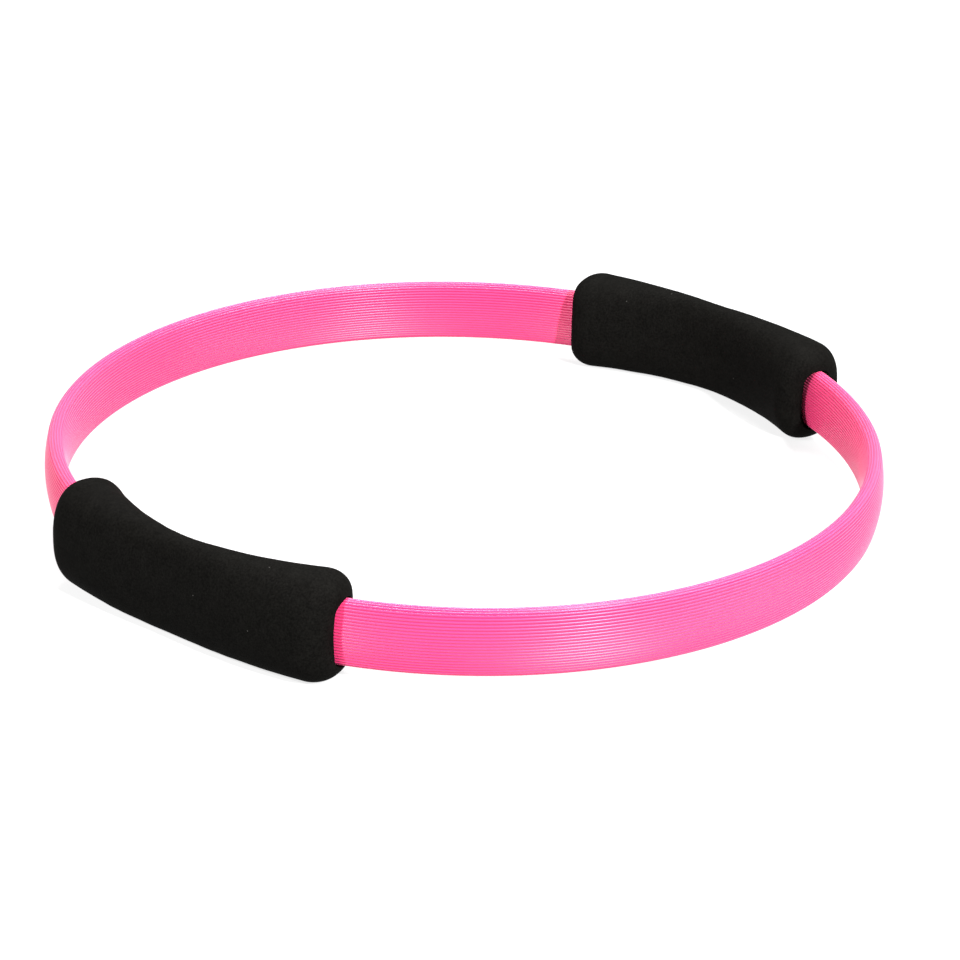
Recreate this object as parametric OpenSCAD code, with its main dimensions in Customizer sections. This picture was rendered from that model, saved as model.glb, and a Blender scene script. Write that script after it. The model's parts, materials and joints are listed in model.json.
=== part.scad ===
// Flexible resistance ring: a ribbed rubber band over spring leaves, with two foam grips.
// It lies flat on its grips. The origin is on the floor, below the centre of the ring.
// The grips sit on +X (right) and -X (left), and the two bows of the band at -Y (front) and +Y (rear).

/* [Band] */
// Outside diameter of the band
ring_d = 380; // [360:1:400]
// Height of the band
band_h = 30; // [29:0.5:31]
// Thickness of the band at half its height
band_t = 10; // [9.6:0.1:10.6]
// Radius of the band's top and bottom rims
rim_r = 3.5; // [3.2:0.1:3.8]
// Ribs across each crowned face
face_ribs = 18; // [12:1:22]
// Ribs round each rim
rim_ribs = 7; // [5:1:8]
// Depth of the grooves between the ribs
rib_depth = 0.3; // [0.1:0.05:0.4]
// Angle from the middle of a grip to the end of the rubber sleeve
sleeve_end = 16; // [16:0.5:18]

/* [Spring leaves] */
// Thickness of one fibreglass leaf
leaf_t = 2; // [1.6:0.1:2.1]
// Height of a leaf
leaf_h = 22; // [20:0.5:22]
// Gap between the two leaves of a bow
leaf_gap = 0.2; // [0.1:0.05:0.3]
// Clearance round the pair of leaves
leaf_clear = 0.2; // [0.1:0.05:0.3]
// Angle from the middle of a grip to the end of a leaf
leaf_end = 2.6; // [2.4:0.1:3]

/* [End ferrules] */
// Sheet thickness of the steel cap on the ends of the leaves
ferrule_t = 0.5; // [0.4:0.1:0.6]
// Angle from the middle of a grip to the open end of the cap
ferrule_end = 8.2; // [8:0.1:8.4]
// Angle of the two rivets
rivet_angle = 5.6; // [5.2:0.1:6]
// Rivets above and below the middle of the band
rivet_z = 6; // [5:0.5:7]
// Diameter of a rivet
rivet_d = 3; // [2.5:0.1:3.2]

/* [Splice] */
// Thickness of the nylon splice that joins two bows
splice_t = 13; // [12.8:0.1:13.4]
// Height of the splice
splice_h = 32; // [31.5:0.5:33]
// Angle from the middle of a grip to the end of the splice
splice_end = 15; // [14.5:0.5:15]
// Angle of the screws that clamp the leaves
screw_angle = 11.5; // [11:0.5:12]
// Screws through the middle web, above and below the middle of the band
screw_z = 5; // [4.5:0.1:5.3]
// Diameter of the screws
screw_d = 4; // [3.5:0.5:4]
// Width across the flats of the nuts
nut_flats = 7; // [6.5:0.5:7]

/* [Grips] */
// Angle from the middle of a grip to its end
grip_end = 23.5; // [22.5:0.1:25]
// Angle by which both grips sit towards the front bow
grip_shift = 1.46; // [0:0.02:1.5]
// How far the foam sits above the middle of the band
grip_lift = 1.3; // [0:0.1:1.5]
// Height of a grip at its waist
grip_waist_h = 45.4; // [43:0.2:47]
// Height that a grip opens to at its ends, before they are rounded
grip_bulb_h = 48.8; // [48:0.2:52]
// Depth of a grip at its waist
grip_waist_t = 18.6; // [18:0.2:24]
// Depth that a grip opens to at its ends, before they are rounded
grip_bulb_t = 39.6; // [36:0.2:44]
// Length of a grip's rounded end
end_round = 12.6; // [11:0.2:15]
// How much the rounded end comes in on every side
end_drop = 10.2; // [8:0.2:10.4]
// Foam pressed flat where the ring rests
rest_clip = 0.5; // [0.2:0.1:0.8]
// Thickness of the adhesive tape between splice and foam
tape_t = 0.4; // [0.3:0.1:0.5]

/* [Hidden] */

$fn = 96;
mid_r = (ring_d - band_t) / 2;              // radius of the band's centre line
foam_gap = 0.3;                             // free space between sleeve and foam
part_gap = 0.1;                             // split line between the splice halves
pack_t = 2 * leaf_t + leaf_gap;             // two leaves together
cavity_room_t = 0.8;                        // free space beside a ferrule in its pocket
cavity_room_h = 0.4;                        // and above and below it
cavity_t = pack_t + 2 * (ferrule_t + leaf_clear + cavity_room_t);
cavity_h = leaf_h + 2 * (ferrule_t + leaf_clear + cavity_room_h);
cavity_end = ferrule_end + 0.8;             // angle where the ferrule's pocket ends
ferrule_start = leaf_end - 0.3;             // the cap's closed end
web_end = ferrule_start - 0.5;              // half angle of the splice's middle web
splice_rim_r = 5;
tape_room = 0.6;                            // angle of free space past the ends of the tape
cut = 1;                                    // how far a cutter runs past what it cuts
slip = 0.1;                                 // small overlap or clearance of mating pieces
smooth_face = 10;                           // steps across a smooth crowned face
smooth_rim = 6;                             // steps round a smooth rim
rivet_head_d = 4.8;
rivet_head_h = 0.6;
hole_clear = 0.3;                           // added to a screw's or rivet's diameter
head_d = 7.6;                               // countersunk screw head
head_h = 2.2;
head_r = 5.4;                               // top of the screw heads, outwards from mid_r
socket_d = 2.9;                             // hexagonal socket in a screw head
socket_h = 1.4;
nut_h = 2;
nut_r = -5.4;                               // outer face of the nuts, from mid_r
grip_power = 2.4;                           // 2 would make the grip's section an ellipse
waist_blend = 0.19;                         // rounds the waist, as a share of half a grip
grip_rings = 24;                            // sections along half a grip
grip_sides = 40;                            // points round a section

// ---- Size of a grip at u, which runs from -1 to 1 along it ----

// 0 at the waist and 1 at the ends, nearly straight between
function flare(u) =
    let (w = waist_blend) (sqrt(u * u + w * w) - w) / (sqrt(1 + w * w) - w);

// How far the rounded end has come in
function drop(u) =
    let (from_end = (1 - abs(u)) * grip_end * PI / 180 * mid_r,
         q = max(0, 1 - from_end / end_round))
        end_drop * (1 - sqrt(max(0, 1 - q * q)));

function half_height(u) = (grip_waist_h + (grip_bulb_h - grip_waist_h) * flare(u)) / 2 - drop(u);
function half_depth(u) = (grip_waist_t + (grip_bulb_t - grip_waist_t) * flare(u)) / 2 - drop(u);

// Places of the grip's sections
grip_u = [for (i = [-grip_rings : grip_rings]) sin(90 * i / grip_rings)];
// Height of the band's centre line above the floor
mid_z = max([for (u = grip_u) half_height(u)]) - grip_lift - rest_clip;

// ---- Section of the band: two crowned faces and two tangent rims ----

// Radius of the crowned face that meets rims of radius r
function crown(h, t, r) = (h * h / 4 - h * r + t * t / 4) / (t - 2 * r);

// An arc from angle a0 to a1 cut into n ribs, each with a groove in front of its crest
function ribs(c, r, a0, a1, n, depth) = [
    for (i = [0 : n - 1], p = depth > 0 ? [[0, depth], [0.22, 0], [0.78, 0]] : [[0, 0]])
        let (a = a0 + (a1 - a0) * (i + p[0]) / n)
            c + (r - p[1]) * [cos(a), sin(a)]
];

function outline(h, t, r, faces, rims, depth) =
    let (f = crown(h, t, r), a = asin((h / 2 - r) / (f - r)))
        concat(
            ribs([t / 2 - f, 0], f, -a, a, faces, depth),
            ribs([0, h / 2 - r], r, a, 180 - a, rims, depth),
            ribs([f - t / 2, 0], f, 180 - a, 180 + a, faces, depth),
            ribs([0, r - h / 2], r, 180 + a, 360 - a, rims, depth));

module ribbed_section() {
    polygon(outline(band_h, band_t, rim_r, face_ribs, rim_ribs, rib_depth));
}

module smooth_section(h, t, r) {
    polygon(outline(h, t, r, smooth_face, smooth_rim, 0));
}

// ---- Placing ----

// Sweeps a section round the ring, from angle a0 to a1
module sweep(a0, a1) {
    rotate([0, 0, a0])
        rotate_extrude(angle = a1 - a0)
            translate([mid_r, mid_z])
                children();
}

// Puts a piece on a radius of the ring, its Z axis pointing outwards
module radial(a, z = 0) {
    rotate([0, 0, a])
        translate([mid_r, 0, mid_z + z])
            rotate([0, 90, 0])
                children();
}

// Moves a piece made at the rear right to another corner of the ring
module corner(left, front) {
    mirror([left ? 1 : 0, 0, 0])
        mirror([0, front ? 1 : 0, 0])
            children();
}

// Turns a piece made on the right or at the rear to the opposite side
module opposite(turned) {
    rotate([0, 0, turned ? 180 : 0])
        children();
}

// ---- Band ----

module sleeve() {
    color("hotpink")
        sweep(sleeve_end, 180 - sleeve_end)
            difference() {
                ribbed_section();
                square([pack_t + 2 * leaf_clear, leaf_h + 2 * leaf_clear], center = true);
            }
}

// One leaf of a bow; side is 1 for the outer leaf and -1 for the inner
module leaf(side) {
    color("tan")
        difference() {
            sweep(leaf_end, 180 - leaf_end)
                translate([side * (leaf_gap + leaf_t) / 2, 0])
                    square([leaf_t, leaf_h], center = true);
            for (end = [0, 1])
                mirror([end, 0, 0]) {
                    radial(screw_angle)
                        cylinder(d = screw_d + hole_clear, h = splice_t, center = true);
                    for (z = [-rivet_z, rivet_z])
                        radial(rivet_angle, z)
                            cylinder(d = rivet_d + hole_clear, h = splice_t, center = true);
                }
        }
}

// Folded steel cap that keeps the ends of two leaves together
module ferrule() {
    inner_t = pack_t + leaf_clear;
    inner_h = leaf_h + leaf_clear;
    color("silver")
        difference() {
            sweep(ferrule_start, ferrule_end)
                square([inner_t + 2 * ferrule_t, inner_h + 2 * ferrule_t], center = true);
            sweep(leaf_end - slip, ferrule_end + cut)
                square([inner_t, inner_h], center = true);
            for (z = [-rivet_z, rivet_z])
                radial(rivet_angle, z)
                    cylinder(d = rivet_d + hole_clear, h = splice_t, center = true);
        }
}

module rivets() {
    grip = pack_t + leaf_clear + 2 * ferrule_t;
    color("gainsboro")
        for (z = [-rivet_z, rivet_z])
            radial(rivet_angle, z) {
                cylinder(d = rivet_d, h = grip + 2 * rivet_head_h, center = true);
                for (end = [-1, 1])
                    translate([0, 0, end * (grip + rivet_head_h + slip) / 2])
                        cylinder(d = rivet_head_d, h = rivet_head_h, center = true);
            }
}

// ---- Splice inside a grip ----

// Calls its children at each of the four screws of a splice
module at_screws() {
    for (a = [-screw_angle, screw_angle])
        radial(a)
            children();
    for (z = [-screw_z, screw_z])
        radial(0, z)
            children();
}

// Pockets for the ferrules, and slots for the leaves beyond them
module splice_pockets() {
    for (front = [0, 1])
        mirror([0, front, 0]) {
            sweep(web_end, cavity_end)
                square([cavity_t, cavity_h], center = true);
            sweep(cavity_end - slip, splice_end + cut)
                square([pack_t + 2 * leaf_clear, leaf_h + 2 * leaf_clear], center = true);
        }
}

// One clamshell half; side is 1 for the outer half and -1 for the inner
module splice_half(side) {
    difference() {
        sweep(-splice_end, splice_end)
            intersection() {
                smooth_section(splice_h, splice_t, splice_rim_r);
                translate([side * (splice_t + part_gap) / 2, 0])
                    square([splice_t, splice_h + cut], center = true);
            }
        splice_pockets();
        at_screws() {
            cylinder(d = screw_d + hole_clear, h = splice_t + 2 * cut, center = true);
            if (side > 0)
                translate([0, 0, head_r - head_h])
                    cylinder(d1 = screw_d + hole_clear, d2 = head_d + hole_clear, h = head_h);
            if (side > 0)
                translate([0, 0, head_r])
                    cylinder(d = head_d + hole_clear, h = splice_t);
            if (side < 0)
                translate([0, 0, nut_r - splice_t])
                    cylinder(d = (nut_flats + hole_clear) / cos(30), h = splice_t + nut_h, $fn = 6);
        }
    }
}

module splice_outer() {
    color("dimgray") splice_half(1);
}

module splice_inner() {
    color("slategray") splice_half(-1);
}

module splice_screws() {
    color("silver")
        at_screws() {
            translate([0, 0, nut_r])
                cylinder(d = screw_d, h = head_r - nut_r - socket_h);
            translate([0, 0, head_r - head_h])
                difference() {
                    cylinder(d1 = screw_d, d2 = head_d, h = head_h);
                    translate([0, 0, head_h - socket_h])
                        cylinder(d = socket_d, h = socket_h + cut, $fn = 6);
                }
        }
}

module splice_nuts() {
    color("gainsboro")
        at_screws()
            translate([0, 0, nut_r])
                difference() {
                    cylinder(d = nut_flats / cos(30), h = nut_h, $fn = 6);
                    translate([0, 0, -cut])
                        cylinder(d = screw_d + slip, h = nut_h + 2 * cut);
                }
}

// ---- Grip ----

module grip_tape() {
    color("whitesmoke")
        sweep(-splice_end, splice_end)
            difference() {
                smooth_section(splice_h + 2 * tape_t, splice_t + 2 * tape_t, splice_rim_r);
                smooth_section(splice_h, splice_t, splice_rim_r);
            }
}

// Signed power, for the rounded section of the foam
function bulge(v) = sign(v) * pow(abs(v), 2 / grip_power);

// A section of the foam, pressed flat on the floor
function grip_section(u) =
    let (a = u * grip_end - grip_shift)
        [for (j = [0 : grip_sides - 1])
            let (v = 360 * j / grip_sides, r = mid_r + half_depth(u) * bulge(cos(v)))
                [r * cos(a), r * sin(a), max(0, mid_z + grip_lift + half_height(u) * bulge(sin(v)))]];

module foam_body() {
    points = [for (u = grip_u) each grip_section(u)];
    last = 2 * grip_rings * grip_sides;
    sides = [for (i = [0 : 2 * grip_rings - 1], j = [0 : grip_sides - 1])
        let (a = i * grip_sides, b = a + grip_sides, k = (j + 1) % grip_sides)
            [a + j, b + j, b + k, a + k]];
    near_end = [for (j = [0 : grip_sides - 1]) j];
    far_end = [for (j = [grip_sides - 1 : -1 : 0]) last + j];
    polyhedron(points, concat(sides, [near_end, far_end]), convexity = 4);
}

module foam_grip() {
    color("#1c1b1a")
        difference() {
            foam_body();
            sweep(-splice_end - tape_room, splice_end + tape_room)
                smooth_section(splice_h + 2 * tape_t, splice_t + 2 * tape_t, splice_rim_r);
            sweep(-grip_end - grip_shift - cut, grip_end + cut)
                smooth_section(band_h + 2 * foam_gap, band_t + 2 * foam_gap, rim_r + foam_gap);
        }
}

opposite(true) sleeve();  // front_sleeve
opposite(false) sleeve();  // rear_sleeve
opposite(true) leaf(1);  // front_outer_leaf
opposite(true) leaf(-1);  // front_inner_leaf
opposite(false) leaf(1);  // rear_outer_leaf
opposite(false) leaf(-1);  // rear_inner_leaf
corner(true, true) ferrule();  // front_left_ferrule
corner(false, true) ferrule();  // front_right_ferrule
corner(true, false) ferrule();  // rear_left_ferrule
corner(false, false) ferrule();  // rear_right_ferrule
corner(true, true) rivets();  // front_left_rivets
corner(false, true) rivets();  // front_right_rivets
corner(true, false) rivets();  // rear_left_rivets
corner(false, false) rivets();  // rear_right_rivets
opposite(true) splice_outer();  // left_splice_outer
opposite(true) splice_inner();  // left_splice_inner
opposite(false) splice_outer();  // right_splice_outer
opposite(false) splice_inner();  // right_splice_inner
opposite(true) splice_screws();  // left_splice_screws
opposite(true) splice_nuts();  // left_splice_nuts
opposite(false) splice_screws();  // right_splice_screws
opposite(false) splice_nuts();  // right_splice_nuts
opposite(true) grip_tape();  // left_grip_tape
opposite(false) grip_tape();  // right_grip_tape
corner(true, false) foam_grip();  // left_foam_grip
corner(false, false) foam_grip();  // right_foam_grip
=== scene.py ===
import json
import math

import bmesh
import bpy
from mathutils import Matrix, Vector, noise


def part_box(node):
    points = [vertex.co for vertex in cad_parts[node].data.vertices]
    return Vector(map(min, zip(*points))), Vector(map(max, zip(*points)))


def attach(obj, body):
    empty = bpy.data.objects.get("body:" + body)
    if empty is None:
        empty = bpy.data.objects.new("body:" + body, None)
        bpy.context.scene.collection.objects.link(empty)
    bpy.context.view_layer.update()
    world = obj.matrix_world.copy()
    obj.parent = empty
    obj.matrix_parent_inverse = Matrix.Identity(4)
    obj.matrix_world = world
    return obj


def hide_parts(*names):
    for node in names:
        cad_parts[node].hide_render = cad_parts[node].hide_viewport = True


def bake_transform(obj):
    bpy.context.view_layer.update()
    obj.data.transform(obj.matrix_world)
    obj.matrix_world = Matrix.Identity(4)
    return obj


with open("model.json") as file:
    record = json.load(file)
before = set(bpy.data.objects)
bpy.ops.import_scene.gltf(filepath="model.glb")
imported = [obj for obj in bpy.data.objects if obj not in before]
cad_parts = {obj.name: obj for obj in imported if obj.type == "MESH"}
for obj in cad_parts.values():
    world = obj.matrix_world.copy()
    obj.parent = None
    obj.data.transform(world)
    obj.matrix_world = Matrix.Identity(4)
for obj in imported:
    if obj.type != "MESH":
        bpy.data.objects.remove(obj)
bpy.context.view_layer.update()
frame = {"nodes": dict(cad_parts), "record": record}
scene = bpy.context.scene
print("frame loaded:", len(frame["nodes"]), "nodes")

sleeveLow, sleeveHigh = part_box("rear_sleeve")
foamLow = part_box("right_foam_grip")[0]
ring = {
    "outerRadius": sleeveHigh.y,
    "bandHeight": sleeveHigh.z - sleeveLow.z,
    "bandThickness": 0.010,
    "middleHeight": (sleeveLow.z + sleeveHigh.z) / 2,
    "sleeveEnd": 16.0,  # degrees from the middle of a grip's splice to the end of the rubber
    "gripEnd": 23.5,  # degrees from the middle of a grip to its end
    "gripShift": 1.46,  # degrees that both grips sit towards the front bow
}
ring["middleRadius"] = ring["outerRadius"] - ring["bandThickness"] / 2


def ringPoint(degrees, radius=None):
    angle = math.radians(degrees)
    reach = ring["middleRadius"] if radius is None else radius
    return Vector((reach * math.cos(angle), reach * math.sin(angle), ring["middleHeight"]))


class Value:
    # a socket that can be added, multiplied and so on
    def __init__(self, graph, node, socket):
        self.graph = graph
        self.node = node
        self.socket = socket

    def other(self, name):
        return Value(self.graph, self.node, self.node.outputs[name])

    def math(self, operation, *others):
        return self.graph.math(operation, self, *others)

    def __add__(self, other):
        return self.graph.math("ADD", self, other)

    def __radd__(self, other):
        return self.graph.math("ADD", other, self)

    def __sub__(self, other):
        return self.graph.math("SUBTRACT", self, other)

    def __rsub__(self, other):
        return self.graph.math("SUBTRACT", other, self)

    def __mul__(self, other):
        return self.graph.math("MULTIPLY", self, other)

    def __rmul__(self, other):
        return self.graph.math("MULTIPLY", other, self)

    def __truediv__(self, other):
        return self.graph.math("DIVIDE", self, other)

    def __pow__(self, other):
        return self.graph.math("POWER", self, other)

    def __neg__(self):
        return self.graph.math("MULTIPLY", self, -1)


class Graph:
    def __init__(self, tree):
        self.tree = tree

    def link(self, socket, value):
        if isinstance(value, Value):
            self.tree.links.new(value.socket, socket)
        else:
            socket.default_value = value

    def add(self, kind, settings=None, sockets=None, out=0):
        node = self.tree.nodes.new(kind)
        for name, setting in (settings or {}).items():
            setattr(node, name, setting)
        for name, value in (sockets or {}).items():
            self.link(node.inputs[name], value)
        return Value(self, node, node.outputs[out])

    def math(self, operation, *values):
        return self.add("ShaderNodeMath", {"operation": operation}, dict(enumerate(values)))


band = {
    "Ring Radius": ring["middleRadius"],
    "Middle Height": ring["middleHeight"],
    "Band Height": ring["bandHeight"],
    "Band Thickness": ring["bandThickness"],
    "Rim Radius": 0.0035,
    "Rib Depth": 0.00042,
    "Rib Roundness": 0.85,
    "Slot Height": 0.0224,
    "Slot Thickness": 0.0046,
    "Face Ribs": 18,
    "Rim Ribs": 7,
    "Points per Rib": 6,
    "Steps Along": 116,
    "Weld Distance": 0.00001,
}
creaseDegrees = {"band": 50, "leaf": 35, "foam": 45}  # edges sharper than this are drawn sharp


def bandTree():
    tree = bpy.data.node_groups.new("ribbedBand", "GeometryNodeTree")
    for name in list(band) + ["Start Angle", "End Angle"]:
        whole = isinstance(band.get(name), int)
        kind = "NodeSocketInt" if whole else "NodeSocketFloat"
        tree.interface.new_socket(name, in_out="INPUT", socket_type=kind)
    tree.interface.new_socket("Finish", in_out="INPUT", socket_type="NodeSocketMaterial")
    tree.interface.new_socket("Mesh", in_out="OUTPUT", socket_type="NodeSocketGeometry")
    g = Graph(tree)
    given = g.add("NodeGroupInput")
    inputs = {s.name: given.other(s.name) for s in given.node.outputs if s.name}

    height, thickness, rim = inputs["Band Height"], inputs["Band Thickness"], inputs["Rim Radius"]
    faceRibs, rimRibs = inputs["Face Ribs"], inputs["Rim Ribs"]
    halfRibs = faceRibs + rimRibs
    # the crowned face meets both rims in a tangent
    crown = (height * height / 4 - height * rim + thickness * thickness / 4) / (thickness - 2 * rim)
    lean = ((height / 2 - rim) / (crown - rim)).math("ARCSINE")

    # one skin of the sleeve: a grid whose X runs along the ring and whose Y runs round the section
    def skin(alongCount, alongShare, depthShare):
        around = halfRibs * 2 * inputs["Points per Rib"] + 1
        grid = g.add("GeometryNodeMeshGrid",
                     sockets={"Size X": 1, "Size Y": 1, "Vertices X": alongCount, "Vertices Y": around})
        place = g.add("ShaderNodeSeparateXYZ", sockets={0: g.add("GeometryNodeInputPosition")})
        along, across = place.other("X") + 0.5, place.other("Y") + 0.5
        rib = (across * halfRibs * 2).math("MODULO", halfRibs * 2)
        halfTurn = (rib / halfRibs).math("FLOOR")
        side = 1 - 2 * halfTurn
        rib = rib - halfTurn * halfRibs
        onRim = rib.math("GREATER_THAN", faceRibs)
        faceAngle = lean * (rib / faceRibs * 2 - 1)
        rimAngle = lean + (math.pi - 2 * lean) * (rib - faceRibs) / rimRibs
        angle = faceAngle + (rimAngle - faceAngle) * onRim
        crest = (rib.math("FRACT") * math.pi).math("SINE").math("ABSOLUTE") ** inputs["Rib Roundness"]
        reach = crown + (rim - crown) * onRim - inputs["Rib Depth"] * (1 - crest) * (1 - depthShare(along))
        outward = (angle.math("COSINE") * reach + (thickness / 2 - crown) * (1 - onRim)) * side
        upward = (angle.math("SINE") * reach + (height / 2 - rim) * onRim) * side
        # the inner skin is the same section, held to the slot for the leaves
        halfX, halfZ = inputs["Slot Thickness"] / 2, inputs["Slot Height"] / 2
        slotX = outward.math("MINIMUM", halfX).math("MAXIMUM", -halfX)
        slotZ = upward.math("MINIMUM", halfZ).math("MAXIMUM", -halfZ)
        outward = outward + (slotX - outward) * depthShare(along)
        upward = upward + (slotZ - upward) * depthShare(along)
        turn = inputs["Start Angle"] + (inputs["End Angle"] - inputs["Start Angle"]) * alongShare(along)
        radius = inputs["Ring Radius"] + outward
        moved = g.add("ShaderNodeCombineXYZ", sockets={
            "X": radius * turn.math("COSINE"), "Y": radius * turn.math("SINE"),
            "Z": inputs["Middle Height"] + upward})
        # the attribute is stored while the grid is still flat, as both fields read its positions
        marked = g.add("GeometryNodeStoreNamedAttribute", {"data_type": "FLOAT", "domain": "POINT"},
                       {"Geometry": grid, "Name": "crest", "Value": crest})
        return g.add("GeometryNodeSetPosition", sockets={"Geometry": marked, "Position": moved})

    steps = inputs["Steps Along"] + 1
    one = g.add("ShaderNodeValue")
    one.socket.default_value = 1
    zero = g.add("ShaderNodeValue")
    zero.socket.default_value = 0
    skins = [
        skin(steps, lambda along: along, lambda along: zero),
        skin(2, lambda along: one, lambda along: along),
        skin(steps, lambda along: 1 - along, lambda along: one),
        skin(2, lambda along: zero, lambda along: 1 - along),
    ]
    joined = g.add("GeometryNodeJoinGeometry")
    for piece in skins:
        tree.links.new(piece.socket, joined.node.inputs[0])
    welded = g.add("GeometryNodeMergeByDistance",
                   sockets={"Geometry": joined, "Distance": inputs["Weld Distance"]})
    real = g.add("GeometryNodeRealizeInstances", sockets={"Geometry": welded})
    finished = g.add("GeometryNodeSetMaterial", sockets={"Geometry": real, "Material": inputs["Finish"]})
    output = tree.nodes.new("NodeGroupOutput")
    tree.links.new(finished.socket, output.inputs["Mesh"])
    return tree


def evaluateTree(name, tree, values):
    holder = bpy.data.objects.new(name, bpy.data.meshes.new(name + "Source"))
    scene.collection.objects.link(holder)
    modifier = holder.modifiers.new("build", "NODES")
    modifier.node_group = tree
    for item in tree.interface.items_tree:
        if item.in_out == "INPUT" and item.name in values:
            modifier[item.identifier] = values[item.name]
    bpy.context.view_layer.update()
    evaluated = holder.evaluated_get(bpy.context.evaluated_depsgraph_get())
    mesh = bpy.data.meshes.new_from_object(evaluated)
    holder.modifiers.remove(modifier)
    source = holder.data
    holder.data = mesh
    mesh.name = name
    bpy.data.meshes.remove(source)
    return holder


def recalcNormals(mesh):
    shortest = 1e-7  # edges below this are dissolved
    form = bmesh.new()
    form.from_mesh(mesh)
    bmesh.ops.dissolve_degenerate(form, edges=form.edges[:], dist=shortest)
    bmesh.ops.recalc_face_normals(form, faces=form.faces[:])
    form.to_mesh(mesh)
    form.free()


def smooth(mesh, degrees):
    mesh.polygons.foreach_set("use_smooth", [True] * len(mesh.polygons))
    mesh.set_sharp_from_angle(angle=math.radians(degrees))


# the four quarters of the ring: the degrees they cover and the bodies at their two ends
quarters = {
    "front_left": (180, 270, "left_grip", "front_bow"),
    "front_right": (270, 360, "front_bow", "front_tail"),
    "rear_right": (0, 90, "rear_tail", "rear_bow"),
    "rear_left": (90, 180, "rear_bow", "left_grip"),
}


def bendQuarter(piece):
    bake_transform(piece)


def newMaterial(name):
    material = bpy.data.materials.new(name)
    material.use_nodes = True
    g = Graph(material.node_tree)
    shader = material.node_tree.nodes["Principled BSDF"]
    return material, g, shader


def mixColour(g, share, first, second, how="MIX"):
    return g.add("ShaderNodeMix", {"data_type": "RGBA", "blend_type": how},
                 {"Factor": share, 6: first, 7: second}, out=2)


def noiseAt(g, size, detail=2.0, roughness=0.5, stretch=None):
    place = g.add("ShaderNodeTexCoord", out="Object")
    if stretch:
        place = g.add("ShaderNodeMapping", sockets={"Vector": place, "Scale": stretch})
    return g.add("ShaderNodeTexNoise", {"noise_dimensions": "3D"},
                 {"Vector": place, "Scale": 1 / size, "Detail": detail, "Roughness": roughness})


def setBump(g, shader, height, distance, strength=1.0):
    bump = g.add("ShaderNodeBump", sockets={"Height": height, "Distance": distance, "Strength": strength})
    g.link(shader.inputs["Normal"], bump)


rubber = {
    "crest": (0.58, 0.030, 0.132, 1),
    # the darker groove colour is painted shade: the grooves between the ribs are drawn darker than the
    # crests
    "groove": (0.42, 0.001, 0.058, 1),
    "tintSize": 0.012,
    "tintDetail": 3,
    "tintShare": 0.06,  # of the patches in the mix of the crest colour and the painted groove shade
    "roughness": 0.31,
    "patchRoughness": 0.06,
    "grooveRoughness": 0.15,
    "specular": 0.32,
    "grainSize": 0.0017,
    "grainDetail": 2,
    "grainDepth": 0.00001,
    "sheen": 0.15,
    "sheenRoughness": 0.5,
}


def pinkRubber():
    material, g, shader = newMaterial("pinkRubber")
    crest = g.add("ShaderNodeAttribute", {"attribute_name": "crest"}, out="Fac")
    patches = noiseAt(g, rubber["tintSize"], rubber["tintDetail"])
    share = crest * (1 - rubber["tintShare"]) + patches * rubber["tintShare"]
    # the grooves take the darker colour, painted shade in the recesses between the ribs
    g.link(shader.inputs["Base Color"], mixColour(g, share, rubber["groove"], rubber["crest"]))
    uneven = rubber["roughness"] + (patches - 0.5) * rubber["patchRoughness"]
    g.link(shader.inputs["Roughness"], uneven + (1 - crest) * rubber["grooveRoughness"])
    setBump(g, shader, noiseAt(g, rubber["grainSize"], rubber["grainDetail"]), rubber["grainDepth"])
    shader.inputs["Specular IOR Level"].default_value = rubber["specular"]
    shader.inputs["Sheen Weight"].default_value = rubber["sheen"]
    shader.inputs["Sheen Roughness"].default_value = rubber["sheenRoughness"]
    return material


foam = {
    "colour": (0.0014, 0.0013, 0.0011, 1),
    "worn": (0.0042, 0.0040, 0.0035, 1),
    "speck": (0.060, 0.058, 0.054, 1),
    "poreSize": 0.0012,
    "poreDepth": 0.00012,
    "poreStrength": 0.6,
    "poreShare": 0.6,  # of the round pores in the bump; the fine noise has the rest
    "fineScale": 0.8,  # size of the fine noise, in pores
    "fineContrast": 2.6,
    "patchSize": 0.006,
    "patchContrast": 0.9,
    "roughness": 0.82,
    "fineRoughness": 0.2,
    "specular": 0.02,
    "speckSize": 0.010,
    "speckReach": 0.028,
    "speckShare": 0.6,
}


def blackFoam():
    material, g, shader = newMaterial("blackFoam")
    place = g.add("ShaderNodeTexCoord", out="Object")
    pores = g.add("ShaderNodeTexVoronoi", {"feature": "F1"},
                  {"Vector": place, "Scale": 1 / foam["poreSize"], "Randomness": 1}, out="Distance")
    fine = noiseAt(g, foam["poreSize"] * foam["fineScale"], detail=3, roughness=0.6)
    patches = noiseAt(g, foam["patchSize"], detail=4, roughness=0.65)
    specks = g.add("ShaderNodeTexVoronoi", {"feature": "F1"},
                   {"Vector": place, "Scale": 1 / foam["speckSize"], "Randomness": 1}, out="Distance")
    wear = (fine - 0.5) * foam["fineContrast"] + patches * foam["patchContrast"]
    base = mixColour(g, wear, foam["colour"], foam["worn"])
    isSpeck = specks.math("LESS_THAN", foam["speckReach"])
    g.link(shader.inputs["Base Color"], mixColour(g, isSpeck * foam["speckShare"], base, foam["speck"]))
    g.link(shader.inputs["Roughness"], foam["roughness"] + (fine - 0.5) * foam["fineRoughness"])
    height = pores * foam["poreShare"] + fine * (1 - foam["poreShare"])
    setBump(g, shader, height, foam["poreDepth"], foam["poreStrength"])
    shader.inputs["Specular IOR Level"].default_value = foam["specular"]
    return material


plain = {"wearSize": 0.012, "wearShare": 0.7, "cloudShare": 0.3, "roughnessSpread": 0.25}


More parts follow.
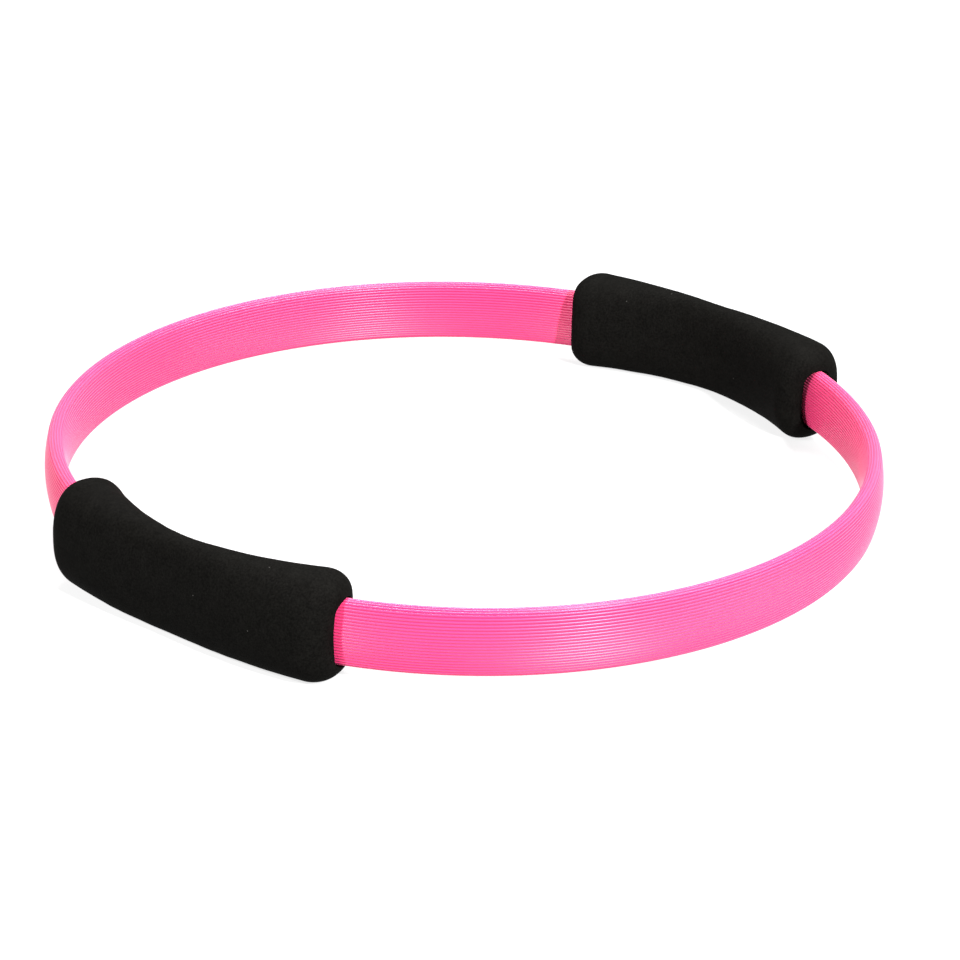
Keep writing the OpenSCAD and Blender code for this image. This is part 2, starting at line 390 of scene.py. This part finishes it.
# the finish of a hidden piece: two close colours, with a little wear in the shine
def plainFinish(name, colour, dark, roughness, grain, depth, metallic=0.0, stretch=None):
    material, g, shader = newMaterial(name)
    cloud = noiseAt(g, grain, detail=4, roughness=0.6, stretch=stretch)
    wear = noiseAt(g, plain["wearSize"], detail=3)
    share = wear * plain["wearShare"] + cloud * plain["cloudShare"]
    g.link(shader.inputs["Base Color"], mixColour(g, share, colour, dark))
    g.link(shader.inputs["Roughness"], roughness + (cloud - 0.5) * plain["roughnessSpread"])
    setBump(g, shader, cloud, depth)
    shader.inputs["Metallic"].default_value = metallic
    return material


rubberFinish = pinkRubber()
foamFinish = blackFoam()
finishes = {
    "fibreglass": plainFinish("fibreglassLaminate", (0.70, 0.66, 0.42, 1), (0.50, 0.46, 0.26, 1),
                              0.32, 0.0009, 0.00003, stretch=(1, 1, 8)),
    "ferrule_steel": plainFinish("zincSheet", (0.60, 0.61, 0.64, 1), (0.42, 0.43, 0.46, 1),
                                 0.34, 0.004, 0.00002, metallic=1.0),
    "rivet_steel": plainFinish("rivetSteel", (0.66, 0.66, 0.67, 1), (0.50, 0.50, 0.52, 1),
                               0.30, 0.002, 0.00002, metallic=1.0),
    "black_nylon": plainFinish("blackNylon", (0.022, 0.022, 0.024, 1), (0.034, 0.034, 0.036, 1),
                               0.46, 0.0007, 0.00003),
    "screw_steel": plainFinish("screwSteel", (0.62, 0.62, 0.60, 1), (0.46, 0.45, 0.42, 1),
                               0.28, 0.003, 0.00001, metallic=1.0),
    "nut_steel": plainFinish("nutSteel", (0.64, 0.64, 0.62, 1), (0.46, 0.45, 0.42, 1),
                             0.32, 0.003, 0.00001, metallic=1.0),
    "white_tape": plainFinish("adhesiveTape", (0.72, 0.71, 0.66, 1), (0.58, 0.56, 0.50, 1),
                              0.55, 0.0012, 0.00005),
}
print("materials made")

tree = bandTree()
for quarter in quarters:
    low, high = quarters[quarter][:2]
    gripAtLow = low % 180 == 0
    values = dict(band)
    values["Finish"] = rubberFinish
    values["Start Angle"] = math.radians(low + ring["sleeveEnd"] if gripAtLow else low)
    values["End Angle"] = math.radians(high if gripAtLow else high - ring["sleeveEnd"])
    piece = evaluateTree(quarter + "_band", tree, values)
    recalcNormals(piece.data)
    smooth(piece.data, creaseDegrees["band"])
    bendQuarter(piece)
    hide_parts(quarter.split("_")[0] + "_sleeve")
print("ribbed band made")


# a spring leaf cut at the middle of its bow into its two halves
def halfOfNode(nodeName, pieceName, keepPositive):
    weld = 1e-6  # corners closer than this are one corner
    form = bmesh.new()
    form.from_mesh(frame["nodes"][nodeName].data)
    bmesh.ops.remove_doubles(form, verts=form.verts[:], dist=weld)
    cut = bmesh.ops.bisect_plane(form, geom=form.verts[:] + form.edges[:] + form.faces[:],
                                 plane_co=(0, 0, 0), plane_no=(1, 0, 0),
                                 clear_inner=keepPositive, clear_outer=not keepPositive)
    edges = [e for e in cut["geom_cut"] if isinstance(e, bmesh.types.BMEdge)]
    bmesh.ops.holes_fill(form, edges=edges)
    bmesh.ops.recalc_face_normals(form, faces=form.faces[:])
    mesh = bpy.data.meshes.new(pieceName)
    form.to_mesh(mesh)
    form.free()
    piece = bpy.data.objects.new(pieceName, mesh)
    scene.collection.objects.link(piece)
    return piece


for quarter in quarters:
    bow, side = quarter.split("_")
    for layer in ("outer", "inner"):
        nodeName = bow + "_" + layer + "_leaf"
        piece = halfOfNode(nodeName, quarter + "_" + layer + "_strip", side == "right")
        piece.data.materials.append(finishes["fibreglass"])
        smooth(piece.data, creaseDegrees["leaf"])
        bendQuarter(piece)
        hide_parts(nodeName)
print("spring leaves made")

grip = {
    "waistHeight": 0.0454,
    "bulbHeight": 0.0488,
    "waistDepth": 0.0186,
    "bulbDepth": 0.0396,
    "waistBlend": 0.19,
    "sectionPower": 2.4,
    "endRound": 0.0126,
    "endDrop": 0.0102,
    "lift": 0.0013,  # of the foam's middle above the band's
    "end": 23.8,  # degrees from the middle of the foam to its end, lips left out
    "lip": 0.35,  # degrees that the end stands out above and below, and is cut back at its sides
    "tilt": 0.35,  # 0 for ends square to the band, 1 for ends parallel to each other
    "rings": 150,
    "sides": 128,
    "capLoops": 5,
    "unevenness": 0.00018,
    "broadWaves": 60,  # per metre
    "fineWaves": 150,
    "fineShare": 0.5,
    "sunk": 0.8,  # share of the unevenness that the whole skin lies lower
    "channelGap": 0.00012,
    "channelPower": 2.6,
    "mouthLength": 0.0048,  # the hole's rim is rounded over this length
    "mouthDepth": 0.0040,
    "mouthSteps": 8,
    "overshoot": 3,  # degrees that the hole's tool reaches past the end
    "spliceReach": 15.6,  # degrees of the wider channel round the splice
    "spliceHeight": 0.0331,
    "spliceDepth": 0.0141,
    "splicePower": 3.2,
    "spliceSteps": 5,
    "shoulder": 0.1,  # degrees between the wide channel and the tight one
}


def ovalPoints(height, depth, power):
    points = []
    for k in range(grip["sides"]):
        turn = 2 * math.pi * k / grip["sides"]
        c, s = math.cos(turn), math.sin(turn)
        x = math.copysign(abs(c) ** (2 / power), c) * depth / 2
        z = math.copysign(abs(s) ** (2 / power), s) * height / 2
        points.append((x, z))
    return points


def gripSection(u):
    blend = grip["waistBlend"]
    flare = (math.hypot(u, blend) - blend) / (math.hypot(1, blend) - blend)
    fromEnd = (1 - abs(u)) * math.radians(grip["end"]) * ring["middleRadius"]
    q = max(0.0, 1 - fromEnd / grip["endRound"])
    drop = 2 * grip["endDrop"] * (1 - math.sqrt(max(0.0, 1 - q * q)))
    height = grip["waistHeight"] + (grip["bulbHeight"] - grip["waistHeight"]) * flare - drop
    depth = grip["waistDepth"] + (grip["bulbDepth"] - grip["waistDepth"]) * flare - drop
    return ovalPoints(height, depth, grip["sectionPower"])


# a closed tube through loops of points (degrees, x, z), made at the right and mirrored for the left
def sweptForm(name, sections, side):
    form = bmesh.new()
    loops = []
    for points in sections:
        loop = []
        for degrees, x, z in points:
            angle = math.radians(degrees)
            radius = ring["middleRadius"] + x
            height = ring["middleHeight"] + z
            loop.append(form.verts.new((side * radius * math.cos(angle), radius * math.sin(angle), height)))
        loops.append(loop)
    for first, second in zip(loops, loops[1:]):
        for k in range(len(first)):
            n = (k + 1) % len(first)
            form.faces.new((first[k], first[n], second[n], second[k]))
    form.faces.new(loops[0])
    form.faces.new(loops[-1])
    bmesh.ops.recalc_face_normals(form, faces=form.faces[:])
    mesh = bpy.data.meshes.new(name)
    form.to_mesh(mesh)
    form.free()
    piece = bpy.data.objects.new(name, mesh)
    scene.collection.objects.link(piece)
    return piece


def foamLoop(u):
    loop = []
    for k, (x, z) in enumerate(gripSection(u)):
        lip = grip["lip"] * math.cos(4 * math.pi * k / grip["sides"])
        degrees = u * (grip["end"] * (1 - grip["tilt"] * x / ring["middleRadius"]) - lip)
        loop.append((degrees - ring["gripShift"], x, grip["lift"] + z))
    return loop


# a loop drawn in towards its own middle
def smallerLoop(loop, share):
    middle = [sum(values) / len(loop) for values in zip(*loop)]
    return [tuple(m + (value - m) * share for m, value in zip(middle, point)) for point in loop]


def foamBody(name, side):
    sections = [foamLoop(math.sin(math.pi * (k / grip["rings"] - 0.5))) for k in range(grip["rings"] + 1)]
    first, last = sections[0], sections[-1]
    for k in range(1, grip["capLoops"] + 1):
        share = 1 - k / (grip["capLoops"] + 1)
        sections = [smallerLoop(first, share)] + sections + [smallerLoop(last, share)]
    body = sweptForm(name, sections, side)
    body.data.update()
    # soft unevenness of the skin, and the patches pressed flat on the floor
    for vertex in body.data.vertices:
        broad = noise.noise(vertex.co * grip["broadWaves"])
        fine = noise.noise(vertex.co * grip["fineWaves"])
        vertex.co += vertex.normal * (broad + grip["fineShare"] * fine - grip["sunk"]) * grip["unevenness"]
        vertex.co.z = max(vertex.co.z, foamLow.z)
    return body


# the hole through the foam: tight on the band, wide round the splice, rounded at its mouths
def foamChannel(side):
    bandSize = (ring["bandHeight"] + 2 * grip["channelGap"], ring["bandThickness"] + 2 * grip["channelGap"])
    wide = ovalPoints(grip["spliceHeight"], grip["spliceDepth"], grip["splicePower"])
    degreesPerMetre = math.degrees(1 / ring["middleRadius"])

    def row(degrees, points):
        return [(degrees, x, z) for x, z in points]

    def tight(degrees, opening=0.0):
        depth = bandSize[1] + 2 * grip["mouthDepth"] * opening
        return row(degrees, ovalPoints(bandSize[0], depth, grip["channelPower"]))

    def mouth(end, toward):
        rows = [tight(end + toward * grip["overshoot"], 1)]
        for k in range(grip["mouthSteps"] + 1):
            inward = k / grip["mouthSteps"]
            opening = 1 - math.sqrt(1 - (1 - inward) ** 2)
            into = grip["lip"] + inward * grip["mouthLength"] * degreesPerMetre
            rows.append(tight(end - toward * into, opening))
        return rows

    reach, steps = grip["spliceReach"], grip["spliceSteps"]
    front, rear = -grip["end"] - ring["gripShift"], grip["end"] - ring["gripShift"]
    middle = [row(reach * step / steps, wide) for step in range(-steps, steps + 1)]
    middle = [tight(-reach - grip["shoulder"])] + middle + [tight(reach + grip["shoulder"])]
    return sweptForm("foamChannel", mouth(front, -1) + middle + mouth(rear, 1)[::-1], side)


def foamGrip(name, side, node, body):
    piece = foamBody(name, side)
    cutter = foamChannel(side)
    modifier = piece.modifiers.new("channel", "BOOLEAN")
    modifier.operation = "DIFFERENCE"
    modifier.solver = "EXACT"
    modifier.object = cutter
    bpy.context.view_layer.update()
    mesh = bpy.data.meshes.new_from_object(piece.evaluated_get(bpy.context.evaluated_depsgraph_get()))
    piece.modifiers.remove(modifier)
    piece.data = mesh
    bpy.data.objects.remove(cutter)
    mesh.materials.clear()
    mesh.materials.append(foamFinish)
    smooth(mesh, creaseDegrees["foam"])
    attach(piece, body)
    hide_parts(node)


foamGrip("left_foam_pad", -1, "left_foam_grip", "left_grip")
foamGrip("right_foam_pad", 1, "right_foam_grip", "right_grip")
print("foam grips made")

slotOf = {row["node"]: row["material_slot"] for row in frame["record"]["subparts"]}
for nodeName, node in frame["nodes"].items():
    finish = finishes.get(slotOf[nodeName], rubberFinish if "sleeve" in nodeName else foamFinish)
    node.data.materials.clear()
    node.data.materials.append(finish)
print("CAD pieces finished")

stage = {
    "floorSize": 14.0,
    "floorColour": (0.15, 0.15, 0.15, 1),
    "floorRoughness": 0.9,
    "floorSpecular": 0.1,
    "worldColour": (1.0, 1.0, 1.0, 1),
    "worldStrength": 0.35,
    "floorGlow": 0.78,
}


def makeFloor():
    half = stage["floorSize"] / 2
    mesh = bpy.data.meshes.new("studioFloor")
    corners = [(-half, -half, 0), (half, -half, 0), (half, half, 0), (-half, half, 0)]
    mesh.from_pydata(corners, [], [(0, 1, 2, 3)])
    floor = bpy.data.objects.new("studioFloor", mesh)
    scene.collection.objects.link(floor)
    material, g, shader = newMaterial("floorPaint")
    shader.inputs["Base Color"].default_value = stage["floorColour"]
    shader.inputs["Roughness"].default_value = stage["floorRoughness"]
    shader.inputs["Specular IOR Level"].default_value = stage["floorSpecular"]
    shader.inputs["Emission Color"].default_value = stage["worldColour"]
    shader.inputs["Emission Strength"].default_value = stage["floorGlow"]
    mesh.materials.append(material)


def makeWorld():
    world = bpy.data.worlds.new("studioAir")
    world.use_nodes = True
    background = world.node_tree.nodes["Background"]
    background.inputs["Color"].default_value = stage["worldColour"]
    background.inputs["Strength"].default_value = stage["worldStrength"]
    scene.world = world


camera = {
    "lens": 111.75,
    "sensor": 36,
    "nearest": 0.01,
    "azimuth": -50.44,  # degrees; 0 looks along +Y
    "elevation": 24.27,
    "roll": 1.76,
    "distance": 1.3604,
    "sideways": 0.00716,
    "upwards": -0.01116,
}


def viewAxes(azimuth, elevation):
    a, e = math.radians(azimuth), math.radians(elevation)
    right = Vector((math.cos(a), math.sin(a), 0))
    back = Vector((math.sin(a) * math.cos(e), -math.cos(a) * math.cos(e), math.sin(e)))
    return right, back.cross(right), back


def makeCamera():
    right, up, back = viewAxes(camera["azimuth"], camera["elevation"])
    place = ringPoint(0, 0) + back * camera["distance"] + right * camera["sideways"] + up * camera["upwards"]
    roll = math.radians(camera["roll"])
    rolledRight = right * math.cos(roll) + up * math.sin(roll)
    rolledUp = up * math.cos(roll) - right * math.sin(roll)
    turned = Matrix((rolledRight, rolledUp, back)).transposed().to_4x4()
    data = bpy.data.cameras.new("camera")
    data.lens = camera["lens"]
    data.sensor_width = camera["sensor"]
    data.clip_start = camera["nearest"]
    eye = bpy.data.objects.new("camera", data)
    eye.matrix_world = Matrix.Translation(place) @ turned
    scene.collection.objects.link(eye)
    scene.camera = eye


# azimuths are counted from the camera's; positive is to its right
lights = {
    "frontLeft": {"azimuth": -42, "elevation": 38, "distance": 1.9, "size": 0.10, "power": 40},
    "frontRight": {"azimuth": 34, "elevation": 32, "distance": 2.0, "size": 0.09, "power": 86},
    "sideRight": {"azimuth": 80, "elevation": 35, "distance": 1.8, "size": 1.2, "power": 28},
    "topBack": {"azimuth": 172, "elevation": 66, "distance": 1.6, "size": 0.9, "power": 60},
}


def makeLight(name, values):
    azimuth = camera["azimuth"] + values["azimuth"]
    right, up, back = viewAxes(azimuth, values["elevation"])
    data = bpy.data.lights.new(name, "AREA")
    data.size = values["size"]
    data.energy = values["power"]
    lamp = bpy.data.objects.new(name, data)
    turned = Matrix((right, up, back)).transposed().to_4x4()
    lamp.matrix_world = Matrix.Translation(ringPoint(0, 0) + back * values["distance"]) @ turned
    scene.collection.objects.link(lamp)


makeFloor()
makeWorld()
makeCamera()
for lightName, lightValues in lights.items():
    makeLight(lightName, lightValues)
scene.view_settings.view_transform = "Standard"
print("stage, light and camera set")
